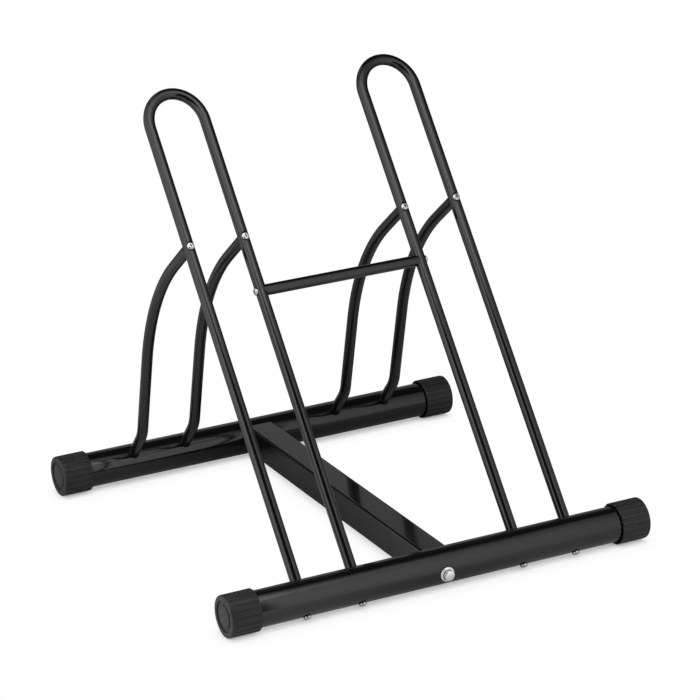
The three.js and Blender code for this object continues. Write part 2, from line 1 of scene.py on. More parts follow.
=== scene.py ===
"""Looks of the floor bike rack: fine meshes, finishes, light and camera around its packed construction.

Metres. +X runs along the base tubes, +Y is the rear, +Z is up, and the floor is z = 0.
"""

import math

import bpy
from mathutils import Matrix, Vector


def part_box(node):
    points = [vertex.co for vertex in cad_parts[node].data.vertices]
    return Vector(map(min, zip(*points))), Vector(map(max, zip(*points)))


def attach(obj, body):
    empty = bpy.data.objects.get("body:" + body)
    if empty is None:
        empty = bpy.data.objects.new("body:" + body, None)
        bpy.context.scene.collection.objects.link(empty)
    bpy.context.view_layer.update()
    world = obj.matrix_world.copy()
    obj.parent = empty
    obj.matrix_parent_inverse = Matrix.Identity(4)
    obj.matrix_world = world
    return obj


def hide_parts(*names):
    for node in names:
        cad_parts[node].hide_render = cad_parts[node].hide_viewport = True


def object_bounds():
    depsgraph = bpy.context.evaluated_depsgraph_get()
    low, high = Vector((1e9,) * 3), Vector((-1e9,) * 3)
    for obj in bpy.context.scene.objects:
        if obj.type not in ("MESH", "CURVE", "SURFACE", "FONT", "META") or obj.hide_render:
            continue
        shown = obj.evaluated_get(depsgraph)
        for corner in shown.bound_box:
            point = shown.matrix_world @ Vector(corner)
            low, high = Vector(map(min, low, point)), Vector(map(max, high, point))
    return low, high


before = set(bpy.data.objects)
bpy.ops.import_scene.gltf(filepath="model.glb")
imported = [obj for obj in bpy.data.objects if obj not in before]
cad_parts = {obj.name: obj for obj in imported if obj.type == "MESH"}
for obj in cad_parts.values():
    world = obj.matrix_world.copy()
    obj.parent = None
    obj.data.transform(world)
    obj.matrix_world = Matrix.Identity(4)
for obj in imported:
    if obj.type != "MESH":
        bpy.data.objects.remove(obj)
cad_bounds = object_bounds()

# ---------------------------------------------------------------- sizes that the frame gives

X = Vector((1, 0, 0))
Y = Vector((0, 1, 0))
Z = Vector((0, 0, 1))


def middle(node):
    low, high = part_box(node)
    return (low + high) / 2


def extent(node):
    low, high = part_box(node)
    return high - low


FRONT_AXIS = middle("front_base_tube")
REAR_AXIS = middle("rear_base_tube")
TUBE_LENGTH = extent("front_base_tube").x
TUBE_RADIUS = extent("front_base_tube").z / 2
CAP_LENGTH = extent("front_left_end_cap").x
CAP_RADIUS = extent("front_left_end_cap").z / 2
ROD_RADIUS = extent("left_outer_strut").x / 2
BEAM_WIDTH = extent("centre_beam").x
BEAM_HEIGHT = extent("centre_beam").z
LEGS = ("left_outer", "left_inner", "right_inner", "right_outer")
LEG_X = {leg: middle(f"{leg}_strut").x for leg in LEGS}
HALF_LENGTH = cad_bounds[1][0]

leg_to_crossbar = middle("crossbar") - FRONT_AXIS
CROSSBAR_HEIGHT = leg_to_crossbar.length
UP_LEG = leg_to_crossbar.normalized()
BEHIND_LEG = X.cross(UP_LEG) * -1
STRUT_HEIGHT = (middle("left_outer_strut_head_insert") - FRONT_AXIS).dot(UP_LEG)
strut_foot = REAR_AXIS - middle("left_outer_strut_foot_insert")
strut_foot.x = 0
UP_STRUT_FOOT = strut_foot.normalized()

# ---------------------------------------------------------------- sizes of the details

TUBE_WALL = 0.0015
ROD_WALL = 0.0012
BEAM_WALL = 0.0015
SEAT_GAP = 0.0003
HOLE_CLEARANCE = 0.0003
PAINT_EDGE = 0.0003  # rounding of a painted edge

LEG_LENGTH = 0.5165
ARCH_RISE = 0.0345
SLOT_PITCH = 0.062
STRUT_HEAD_STRAIGHT = 0.045
STRUT_HEAD_BEND = 0.082
STRUT_FOOT_STRAIGHT = 0.032
STRUT_FOOT_BEND = 0.009
BEAM_CORNER_RADIUS = 0.0025
BEAM_SIDE_STEP = 0.0012  # longest step along the outline of the beam's section

CAP_END_WALL = 0.003
CAP_RIB_COUNT = 20
CAP_RIB_WIDTH = 0.0032
CAP_RIB_FLANK = 0.001
CAP_FLUTE_DEPTH = 0.0007
CAP_FLUTE_RUNOUT = 0.0006  # length of the slope in which a flute ends before the rim
CAP_MOUTH_CHAMFER = 0.0012
CAP_RIM_LENGTH = 0.0024
CAP_RIM_DROP = 0.0002
CAP_RIM_STRAIGHT = 0.0004
CAP_EDGE_RADIUS = 0.0012
CAP_DISC_RADIUS = 0.0118
CAP_DISC_CROWN = 0.0004  # fall of the disc from its middle to its edge
CAP_DISC_RINGS = (0.98, 0.9, 0.8, 0.65, 0.5, 0.35, 0.2, 0.03)  # shares of the disc's radius
CAP_GROOVE_WIDTH = 0.0046
CAP_GROOVE_DEPTH = 0.0012
CAP_GROOVE_LIP = 0.0002  # chamfer of the groove's edges
CAP_SOFT_EDGE = 0.00035
CAP_CENTRE_RADIUS = 0.0004  # of the smallest ring at the bore's end, which one face fills

SCREW_RADIUS = 0.002
SCREW_TIP_RADIUS = 0.0016
SCREW_TIP_CHAMFER = 0.0005
SCREW_HEAD_RADIUS = 0.004
SCREW_HEAD_HEIGHT = 0.0028
SCREW_HEAD_EDGE = 0.0002
SCREW_HEAD_WALL = 0.0014  # upright part of the head's side
SCREW_WALL_RING = 0.7  # share of the wall's height at which a ring keeps its shading even
SCREW_HEAD_FLAT = 0.45  # share of the head's radius that the crown leaves flat
SCREW_RECESS_WIDTH = 0.0042
SCREW_RECESS_SLOT = 0.0009
SCREW_RECESS_DEPTH = 0.0015
SCREW_RECESS_TAPER = (0.45, 0.78)  # shares of the width and of the slot that are left at the bottom
SCREW_RECESS_OVERCUT = 0.0002
SCREW_GRIP = 0.012
SCREW_SEAT_DEPTH = 0.0016
SCREW_SEAT_CLEARANCE = 0.00036  # between the head and the foot of the seat's rim
SCREW_SEAT_RIM = 0.0013  # width over which the rim rises
SCREW_SEAT_RIM_CURVE = 1.6  # power that rounds the rim
SCREW_SEAT_OVERCUT = 0.0004

BOLT_RADIUS = 0.003
BOLT_FLANGE_RADIUS = 0.00775
BOLT_FLANGE_EDGE = 0.0008
BOLT_FLANGE_THICKNESS = 0.0016
BOLT_HEX_RADIUS = 0.005  # to the flats
BOLT_TOP_SHARE = 0.93  # radius of the head's flat top over the radius to the flats
BOLT_HEAD_HEIGHT = 0.006
BOLT_HEAD_ROOT = 0.0004  # height inside the flange at which the turned shape of the head starts
BOLT_HEAD_OVERCUT = 0.001
BOLT_CORNER_SLOPE = 0.6
BOLT_DROP = 0.002
BOLT_TIP_CHAMFER = 0.0008

BORE_RADIUS = TUBE_RADIUS - TUBE_WALL
ROD_SEAT = ROD_RADIUS + SEAT_GAP
HEAD_SEAT = ROD_SEAT - SCREW_SEAT_DEPTH  # axis of a leg to the screw head that bears on it
TUBE_SEAT = TUBE_RADIUS + SEAT_GAP
ROD_FOOT_DEPTH = math.sqrt(BORE_RADIUS**2 - ROD_RADIUS**2) - SEAT_GAP
BOLT_LENGTH = extent("front_beam_bolt").y - BOLT_HEAD_HEIGHT
TUBE_HOLE_MARGIN = 0.012  # in a base tube, from a hole's middle to the rings of the mesh on its two sides
ROD_HOLE_MARGIN = 0.008  # the same in a rod

TUBE_SIDES = 128
ROD_SIDES = 64
SMALL_SIDES = 40
ARCH_STEPS = 64
BEND_STEPS = 28
EDGE_STEPS = 4
CROWN_STEPS = 8
SEAT_RIM_STEPS = 8
SEAT_FLOOR_STEPS = 16
SAMPLES_PER_RIB = 16
SMOOTH_ANGLE = math.radians(32)

# ---------------------------------------------------------------- mesh making


def ring(centre, across, up, radius, sides):
    """A circle of points around centre, in the plane of across and up."""
    points = []
    for side in range(sides):
        angle = 2 * math.pi * side / sides
        points.append(centre + radius * (math.cos(angle) * across + math.sin(angle) * up))
    return points


def rectangle(half_x, half_y, height):
    """Corners of a level rectangle round the Z axis."""
    signs = ((1, 1), (-1, 1), (-1, -1), (1, -1))
    return [Vector((sign_x * half_x, sign_y * half_y, height)) for sign_x, sign_y in signs]


def skin(rings, closed=False):
    """Vertices and faces over rings of equally many points. The last ring meets the first where the skin
    is closed, and a face fills each end where it isn't."""
    count = len(rings[0])
    vertices = [point for points in rings for point in points]
    faces = []
    for index in range(len(rings) if closed else len(rings) - 1):
        start = index * count
        following = (index + 1) % len(rings) * count
        for side in range(count):
            beside = (side + 1) % count
            faces.append((start + side, start + beside, following + beside, following + side))
    if not closed:
        faces.append(tuple(reversed(range(count))))
        faces.append(tuple(range(len(vertices) - count, len(vertices))))
    return vertices, faces


def joined(shapes):
    """One shape of several that don't touch."""
    vertices, faces = [], []
    for more_vertices, more_faces in shapes:
        first = len(vertices)
        vertices.extend(more_vertices)
        faces.extend(tuple(first + corner for corner in face) for face in more_faces)
    return vertices, faces


def make_object(name, shape):
    mesh = bpy.data.meshes.new(name)
    vertices, faces = shape
    mesh.from_pydata([tuple(vertex) for vertex in vertices], [], faces)
    mesh.validate()
    thing = bpy.data.objects.new(name, mesh)
    bpy.context.scene.collection.objects.link(thing)
    return thing


def face_out(mesh):
    """Turns the faces of a closed mesh outwards if they point in."""
    volume = 0
    for polygon in mesh.polygons:
        corners = [mesh.vertices[index].co for index in polygon.vertices]
        for second, third in zip(corners[1:-1], corners[2:]):
            volume += corners[0].dot(second.cross(third))
    if volume < 0:
        mesh.flip_normals()


def combine(body, tool, operation):
    """body changed by a boolean with tool, which is used up."""
    face_out(body.data)
    face_out(tool.data)
    modifier = body.modifiers.new("boolean", "BOOLEAN")
    modifier.operation = operation
    modifier.solver = "EXACT"
    modifier.object = tool
    evaluated = body.evaluated_get(bpy.context.evaluated_depsgraph_get())
    result = bpy.data.meshes.new_from_object(evaluated)
    body.modifiers.clear()
    old = body.data
    body.data = result
    bpy.data.meshes.remove(old)
    bpy.data.objects.remove(tool)
    return body


def piece(name, body, material, nodes):
    """Finishes an object as a visible piece that stands for its CAD nodes."""
    mesh = body.data
    body.name = name
    mesh.name = name
    face_out(mesh)
    mesh.polygons.foreach_set("use_smooth", [True] * len(mesh.polygons))
    mesh.set_sharp_from_angle(angle=SMOOTH_ANGLE)
    mesh.materials.clear()
    mesh.materials.append(material)
    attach(body, "root")
    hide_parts(*nodes)


# ---------------------------------------------------------------- rods and tubes


def edge_arc(radius, steps=EDGE_STEPS):
    """(depth from the end face, drop from the wall) over a rounded edge, from the wall to the end."""
    arc = []
    for step in range(steps + 1):
        angle = math.pi / 2 * step / steps
        arc.append((radius * (1 - math.sin(angle)), radius * (1 - math.cos(angle))))
    return arc


def end_profile(outer, inner):
    """(depth, radius) of the rings over a tube's end, from its outside to its bore."""
    arc = edge_arc(PAINT_EDGE)
    outside = [(depth, outer - drop) for depth, drop in arc]
    return outside + [(depth, inner + drop) for depth, drop in reversed(arc)]


def tube_shape(path, across, outer, inner, sides):
    """A hollow tube along a path of (point, direction) in the plane that is square to across."""
    rings = []

    def add(point, direction, radius):
        rings.append(ring(point, across, direction.cross(across), radius, sides))

    first, first_way = path[0]
    last, last_way = path[-1]
    for point, way in path[1:-1]:
        add(point, way, outer)
    for depth, radius in end_profile(outer, inner):
        add(last - depth * last_way, last_way, radius)
    for point, way in reversed(path[1:-1]):
        add(point, way, inner)
    for depth, radius in reversed(end_profile(outer, inner)):
        add(first + depth * first_way, first_way, radius)
    return skin(rings, closed=True)


def cylinder(start, way, length, radius, sides=SMALL_SIDES):
    across = way.orthogonal().normalized()
    up = way.cross(across)
    return skin([ring(centre, across, up, radius, sides) for centre in (start, start + length * way)])


def straight_path(start, way, length, marks, margin):
    """A straight path with stations on both sides of each mark, so that a hole there lies between them."""
    distances = [0]
    for mark in sorted(marks):
        distances += [mark - margin, mark + margin]
    distances.append(length)
    return [(start + distance * way, way) for distance in distances]


def base_tube(name, axis, rod_way, material):
    """A base tube. Each rod stands in a hole in the upper side, with its screw hole opposite, and the
    beam's bolt passes through the middle."""
    start = axis - TUBE_LENGTH / 2 * X
    marks = [TUBE_LENGTH / 2 + x for x in (*LEG_X.values(), 0)]
    path = straight_path(start, X, TUBE_LENGTH, marks, TUBE_HOLE_MARGIN)
    tube = make_object(name, tube_shape(path, Y, TUBE_RADIUS, BORE_RADIUS, TUBE_SIDES))
    inside = BORE_RADIUS / 2
    reach = TUBE_RADIUS
    holes = []
    for x in LEG_X.values():
        at = axis + x * X
        holes.append(cylinder(at + inside * rod_way, rod_way, reach, ROD_RADIUS + HOLE_CLEARANCE))
        holes.append(cylinder(at - inside * rod_way, -rod_way, reach, SCREW_RADIUS + HOLE_CLEARANCE))
    bolt_start = axis - 2 * TUBE_RADIUS * Y - BOLT_DROP * Z
    holes.append(cylinder(bolt_start, Y, 4 * TUBE_RADIUS, BOLT_RADIUS + HOLE_CLEARANCE))
    combine(tube, make_object("holes", joined(holes)), "DIFFERENCE")
    piece(f"{name}_skin", tube, material, [name])


def press_screw_seats(loop, seats):
    """A screw hole through a leg at each (place on its axis, way out through the seat). The leg's wall is
    pressed in there, to a flat seat with a rounded rim."""
    level = ROD_RADIUS - SCREW_SEAT_DEPTH
    bottom = SCREW_HEAD_RADIUS + SCREW_SEAT_CLEARANCE
    pocket_profile = [(0, level), (bottom, level)]
    for step in range(1, SEAT_RIM_STEPS + 1):
        share = step / SEAT_RIM_STEPS
        rise = (SCREW_SEAT_DEPTH + SCREW_SEAT_OVERCUT) * share
        pocket_profile.append((bottom + SCREW_SEAT_RIM * share**SCREW_SEAT_RIM_CURVE, level + rise))
    floor_half = pocket_profile[-1][0] + ROD_WALL
    pocket_profile.append((0, pocket_profile[-1][1]))
    floor_radius = ROD_RADIUS - ROD_WALL / 2
    spread = math.acos((level - ROD_WALL) / floor_radius)
    floors, pockets, holes = [], [], []
    for place, way in seats:
        side = UP_LEG.cross(way)
        section = []
        for step in range(SEAT_FLOOR_STEPS + 1):
            angle = spread * (2 * step / SEAT_FLOOR_STEPS - 1)
            section.append(place + floor_radius * (math.sin(angle) * side + math.cos(angle) * way))
        ends = (-floor_half * UP_LEG, floor_half * UP_LEG)
        floors.append(skin([[point + end for point in section] for end in ends]))
        matrix = frame_matrix(place, way, UP_LEG)
        vertices, faces = lathe(pocket_profile, SMALL_SIDES)
        pockets.append(([matrix @ vertex for vertex in vertices], faces))
        hole_start = place - 2 * ROD_RADIUS * way
        holes.append(cylinder(hole_start, way, 4 * ROD_RADIUS, SCREW_RADIUS + HOLE_CLEARANCE))
    combine(loop, make_object("floors", joined(floors)), "UNION")
    combine(loop, make_object("pockets", joined(pockets)), "DIFFERENCE")
    combine(loop, make_object("holes", joined(holes)), "DIFFERENCE")


def cope_to_leg(rod, leg_point):
    """Cuts a rod with an end on a leg's axis back to the curve of the leg."""
    reach = 2 * ROD_RADIUS
    cut = cylinder(leg_point - reach * UP_LEG, UP_LEG, 2 * reach, ROD_SEAT, ROD_SIDES)
    return combine(rod, make_object("leg_cut", cut), "DIFFERENCE")


def wheel_loop(hand, side, material):
    """Up a leg, over a half ellipse and down the other leg."""
    half = SLOT_PITCH / 2
    base = Vector((side * (abs(LEG_X["left_outer"]) - half), FRONT_AXIS.y, FRONT_AXIS.z))
    foot = base - half * X - ROD_FOOT_DEPTH * UP_LEG
    marks = [ROD_FOOT_DEPTH + height for height in (CROSSBAR_HEIGHT, STRUT_HEIGHT)]
    climb = straight_path(foot, UP_LEG, LEG_LENGTH + ROD_FOOT_DEPTH, marks, ROD_HOLE_MARGIN)
    path = climb[:-1]
    for step in range(ARCH_STEPS + 1):
        angle = math.pi * step / ARCH_STEPS
        across, along = math.cos(angle), math.sin(angle)
        point = base - half * across * X + (LEG_LENGTH + ARCH_RISE * along) * UP_LEG
        path.append((point, (half * along * X + ARCH_RISE * across * UP_LEG).normalized()))
    path += [(point + SLOT_PITCH * X, -way) for point, way in reversed(climb[:-1])]
    name = f"{hand}_wheel_loop"
    loop = make_object(name, tube_shape(path, BEHIND_LEG, ROD_RADIUS, ROD_RADIUS - ROD_WALL, ROD_SIDES))
    seats = [(base + x * X + STRUT_HEIGHT * UP_LEG, -BEHIND_LEG) for x in (-half, half)]
    seats.append((base - side * half * X + CROSSBAR_HEIGHT * UP_LEG, side * X))
    press_screw_seats(loop, seats)
    piece(f"{name}_skin", loop, material, [name])


def rounded_path(corners, bends):
    """A path between the corners. Each inner one is rounded by an arc that starts and ends at the distance
    from it that bends gives."""
    ways = [(after - before).normalized() for before, after in zip(corners, corners[1:])]
    path = [(corners[0], ways[0])]
    for corner, distance, way_in, way_out in zip(corners[1:-1], bends, ways, ways[1:]):
        turn = way_in.angle(way_out)
        axis = way_in.cross(way_out).normalized()
        start = corner - distance * way_in
        centre = start + distance / math.tan(turn / 2) * axis.cross(way_in)
        for step in range(BEND_STEPS + 1):
            spin = Matrix.Rotation(turn * step / BEND_STEPS, 3, axis)
            path.append((centre + spin @ (start - centre), (spin @ way_in).normalized()))
    path.append((corners[-1], ways[-1]))
    return path


def rear_strut(leg, material):
    """From the leg back and down in a wide bend, then in a short bend into the rear tube."""
    on_leg = FRONT_AXIS + STRUT_HEIGHT * UP_LEG
    corners = [
        on_leg,
        on_leg + (ROD_SEAT + STRUT_HEAD_STRAIGHT + STRUT_HEAD_BEND) * BEHIND_LEG,
        REAR_AXIS + (TUBE_RADIUS + STRUT_FOOT_STRAIGHT + STRUT_FOOT_BEND) * UP_STRUT_FOOT,
        REAR_AXIS - ROD_FOOT_DEPTH * UP_STRUT_FOOT,
    ]
    corners = [corner + LEG_X[leg] * X for corner in corners]
    path = rounded_path(corners, [STRUT_HEAD_BEND, STRUT_FOOT_BEND])
    path.insert(1, (corners[0] + 2 * ROD_RADIUS * BEHIND_LEG, BEHIND_LEG))
    name = f"{leg}_strut"
    strut = make_object(name, tube_shape(path, X, ROD_RADIUS, ROD_RADIUS - ROD_WALL, ROD_SIDES))
    cope_to_leg(strut, corners[0])
    piece(f"{name}_skin", strut, material, [name])


def crossbar(material):
    """The rod between the inner legs."""
    half = LEG_X["right_inner"]
    middle_point = FRONT_AXIS + CROSSBAR_HEIGHT * UP_LEG
    path = straight_path(middle_point - half * X, X, 2 * half, [half], half - 2 * ROD_RADIUS)
    bar = make_object("crossbar", tube_shape(path, Y, ROD_RADIUS, ROD_RADIUS - ROD_WALL, ROD_SIDES))
    for side in (-1, 1):
        cope_to_leg(bar, middle_point + side * half * X)
    piece("crossbar_skin", bar, material, ["crossbar"])


# ---------------------------------------------------------------- centre beam


def rounded_rectangle(width, height, radius):
    """(x, z) round a rectangle with rounded corners."""
    points = []
    for quarter, (side_x, side_z) in enumerate(((1, 1), (-1, 1), (-1, -1), (1, -1))):
        for step in range(2 * EDGE_STEPS + 1):
            angle = math.pi / 2 * (quarter + step / (2 * EDGE_STEPS))
            points.append((side_x * (width / 2 - radius) + radius * math.cos(angle),
                           side_z * (height / 2 - radius) + radius * math.sin(angle)))
    return points


def split_sides(points, most):
    """The same outline with its sides divided into steps no longer than most."""
    dense = []
    for (x, z), (next_x, next_z) in zip(points, points[1:] + points[:1]):
        parts = max(1, math.ceil(math.hypot(next_x - x, next_z - z) / most))
        for part in range(parts):
            dense.append((x + (next_x - x) * part / parts, z + (next_z - z) * part / parts))
    return dense


def centre_beam(material):
    """A box tube with both ends cut to the curve of the base tubes."""
    outside = split_sides(rounded_rectangle(BEAM_WIDTH, BEAM_HEIGHT, BEAM_CORNER_RADIUS), BEAM_SIDE_STEP)
    bore_width = 1 - 2 * BEAM_WALL / BEAM_WIDTH
    bore_height = 1 - 2 * BEAM_WALL / BEAM_HEIGHT
    bore = [(x * bore_width, z * bore_height) for x, z in outside]
    half_spacing = (REAR_AXIS.y - FRONT_AXIS.y) / 2

    def cross_section(outline, end, setback):
        points = []
        for x, z in outline:
            y = end * (half_spacing - math.sqrt(TUBE_SEAT**2 - z**2) - setback)
            points.append(Vector((x, y, FRONT_AXIS.z + z)))
        return points

    # The edge round each end, drawn in by the rounding of the paint.
    edge = []
    for x, z in outside:
        from_side = PAINT_EDGE * (abs(x) > BEAM_WIDTH / 2 - BEAM_CORNER_RADIUS)
        from_top = PAINT_EDGE * (abs(z) > BEAM_HEIGHT / 2 - BEAM_CORNER_RADIUS)
        edge.append((x - math.copysign(from_side, x), z - math.copysign(from_top, z)))

    steps = ((bore, 0), (edge, 0), (outside, PAINT_EDGE))
    rings = [cross_section(outline, -1, setback) for outline, setback in steps]
    rings += [cross_section(outline, 1, setback) for outline, setback in reversed(steps)]
    beam = make_object("centre_beam", skin(rings, closed=True))
    piece("centre_beam_skin", beam, material, ["centre_beam"])


# ---------------------------------------------------------------- ribbed end caps


def smoothstep(value):
    value = min(1, max(0, value))
    return value * value * (3 - 2 * value)


def flute_share(angle):
    """0 on the crest of a rib and 1 in the flute. The first rib points along -Z."""
    pitch = 2 * math.pi / CAP_RIB_COUNT
    from_crest = abs((angle + pitch / 2) % pitch - pitch / 2) * CAP_RADIUS
    return smoothstep((from_crest - CAP_RIB_WIDTH / 2) / CAP_RIB_FLANK)


def cap_profile():
    """(distance from the mouth, radius, depth of the flutes) from the middle of the bore's end, round the
    mouth and over the outside to the middle of the closed end."""
    bore = TUBE_RADIUS + HOLE_CLEARANCE
    bore_end = CAP_LENGTH - CAP_END_WALL
    deep = CAP_FLUTE_DEPTH
    ribs_end = CAP_LENGTH - CAP_RIM_LENGTH
    rim = CAP_RADIUS - CAP_RIM_DROP
    rings = [(bore_end, CAP_CENTRE_RADIUS, 0), (bore_end, bore, 0)]
    rings += [(CAP_MOUTH_CHAMFER, bore, 0), (0, bore + CAP_MOUTH_CHAMFER, 0)]
    rings += [(depth, CAP_RADIUS - drop, deep) for depth, drop in reversed(edge_arc(CAP_SOFT_EDGE))]
    rings += [(ribs_end * share, CAP_RADIUS, deep) for share in (0.25, 0.5, 0.75)]
    # The flutes run out against the rim in a short slope.
    rings.append((ribs_end - CAP_FLUTE_RUNOUT, CAP_RADIUS, deep))
    rings.append((ribs_end - CAP_FLUTE_RUNOUT / 3, CAP_RADIUS - CAP_RIM_DROP / 4, 0.8 * deep))
    rings += [(ribs_end, rim, 0), (ribs_end + CAP_RIM_STRAIGHT, rim, 0)]
    edge = edge_arc(CAP_EDGE_RADIUS, 2 * EDGE_STEPS)
    rings += [(CAP_LENGTH - depth, rim - drop, 0) for depth, drop in edge]
    groove = CAP_DISC_RADIUS + CAP_GROOVE_WIDTH
    floor = CAP_LENGTH - CAP_GROOVE_DEPTH
    lip = CAP_GROOVE_LIP
    rings += [(CAP_LENGTH, groove + lip, 0), (CAP_LENGTH - lip, groove, 0), (floor, groove - lip, 0)]
    disc_edge = CAP_LENGTH - CAP_DISC_CROWN
    rings += [(floor, CAP_DISC_RADIUS + lip, 0), (disc_edge - lip, CAP_DISC_RADIUS, 0)]
    for share in CAP_DISC_RINGS:
        rings.append((CAP_LENGTH - CAP_DISC_CROWN * share**2, CAP_DISC_RADIUS * share, 0))
    return rings


def end_cap(row, hand, axis, side, material):
    mouth = axis + side * (HALF_LENGTH - CAP_LENGTH) * X
    sides = CAP_RIB_COUNT * SAMPLES_PER_RIB
    rings = []
    for along, radius, depth in cap_profile():
        points = []
        for index in range(sides):
            angle = 2 * math.pi * index / sides
            reach = radius - depth * flute_share(angle)
            spoke = -math.cos(angle) * Z + math.sin(angle) * Y
            points.append(mouth + side * along * X + reach * spoke)
        rings.append(points)
    name = f"{row}_{hand}_end_cap"
    cap = make_object(name, skin(rings))
    piece(f"{name}_skin", cap, material, [name])


# ---------------------------------------------------------------- fasteners


def lathe(profile, sides):
    """A solid of revolution round Z over (radius, height) points."""
    least = 1e-5  # radius of the ring at a point on the axis, which one face fills
    return skin([ring(height * Z, X, Y, max(radius, least), sides) for radius, height in profile])


def frame_matrix(origin, way, up):
    """Local +Z points along way and local +Y as near to up as it can."""
    side = up.cross(way).normalized()
    return Matrix.Translation(origin) @ Matrix((side, way.cross(side), way)).transposed().to_4x4()


def screw_shape(length):
    """A pan-head screw with its seat at the origin and its head along +Z."""
    profile = [(0, -length), (SCREW_TIP_RADIUS, -length)]
    profile += [(SCREW_RADIUS, -length + SCREW_TIP_CHAMFER), (SCREW_RADIUS, 0)]
    profile += [(SCREW_HEAD_RADIUS - SCREW_HEAD_EDGE, 0), (SCREW_HEAD_RADIUS, SCREW_HEAD_EDGE)]
    profile.append((SCREW_HEAD_RADIUS, SCREW_HEAD_WALL * SCREW_WALL_RING))
    crown = SCREW_HEAD_HEIGHT - SCREW_HEAD_WALL
    for step in range(CROWN_STEPS + 1):
        angle = math.pi / 2 * step / CROWN_STEPS
        radius = SCREW_HEAD_RADIUS * (SCREW_HEAD_FLAT + (1 - SCREW_HEAD_FLAT) * math.cos(angle))
        profile.append((radius, SCREW_HEAD_WALL + crown * math.sin(angle)))
    profile.append((0, SCREW_HEAD_HEIGHT))
    return lathe(profile, SMALL_SIDES)


def recess_shape():
    """A cross recess that narrows with its depth."""
    bottom = (-SCREW_RECESS_DEPTH, *SCREW_RECESS_TAPER)
    top = (SCREW_RECESS_OVERCUT, 1, 1)

    def bar(turn):
        spin = Matrix.Rotation(turn, 3, "Z")
        rings = []
        for height, width_share, slot_share in (bottom, top):
            half_width = SCREW_RECESS_WIDTH / 2 * width_share
            half_slot = SCREW_RECESS_SLOT / 2 * slot_share
            rings.append([spin @ corner for corner in rectangle(half_width, half_slot, height)])
        return skin(rings)

    first = make_object("recess", bar(0))
    return combine(first, make_object("recess_bar", bar(math.pi / 2)), "UNION")


def screw(name, origin, way, up, length, material):
    body = make_object(name, screw_shape(length))
    recess = recess_shape()
    recess.data.transform(Matrix.Translation(SCREW_HEAD_HEIGHT * Z))
    combine(body, recess, "DIFFERENCE")
    body.data.transform(frame_matrix(origin, way, up))
    piece(f"{name}_skin", body, material, [name])


def flange_bolt(name, origin, way, material):
    """A bolt with a rounded flange and a hexagon head, turned to a cone over the head's corners."""
    hex_corner = BOLT_HEX_RADIUS / math.cos(math.pi / 6)
    rounding = edge_arc(BOLT_FLANGE_EDGE / 2)
    profile = [(0, -BOLT_LENGTH), (BOLT_RADIUS - BOLT_TIP_CHAMFER, -BOLT_LENGTH)]
    profile += [(BOLT_RADIUS, -BOLT_LENGTH + BOLT_TIP_CHAMFER), (BOLT_RADIUS, 0)]
    profile += [(BOLT_FLANGE_RADIUS - drop, depth) for depth, drop in reversed(rounding)]
    profile += [(BOLT_FLANGE_RADIUS - drop, BOLT_FLANGE_EDGE - depth) for depth, drop in rounding]
    profile += [(hex_corner, BOLT_FLANGE_THICKNESS), (0, BOLT_FLANGE_THICKNESS)]
    body = make_object(name, lathe(profile, 2 * SMALL_SIDES))
    top = BOLT_HEX_RADIUS * BOLT_TOP_SHARE
    reach = hex_corner + BOLT_HEAD_OVERCUT
    shoulder = BOLT_HEAD_HEIGHT - (reach - top) * BOLT_CORNER_SLOPE
    turned_profile = [(0, BOLT_HEAD_ROOT), (reach, BOLT_HEAD_ROOT), (reach, shoulder)]
    turned_profile += [(top, BOLT_HEAD_HEIGHT), (0, BOLT_HEAD_HEIGHT)]
    prism_heights = (BOLT_HEAD_ROOT / 2, BOLT_HEAD_HEIGHT + BOLT_HEAD_OVERCUT)
    prism = skin([ring(height * Z, X, Y, hex_corner, 6) for height in prism_heights])
    head = make_object("head", prism)
    combine(head, make_object("turned", lathe(turned_profile, 2 * SMALL_SIDES)), "INTERSECT")
    combine(body, head, "UNION")
    body.data.transform(frame_matrix(origin, way, Z))
    piece(f"{name}_skin", body, material, [name])


# ---------------------------------------------------------------- materials

NOISE_RANGE = (0.3, 0.7)  # where most values of a noise lie
EDGE_TURN = (0.995, 0.9)  # cosine between a face and its rounded normal, at the start of an edge and on it
RECESS_OPENNESS = (0.97, 0.6)  # share of the surroundings that is open, beside a groove and deep in it


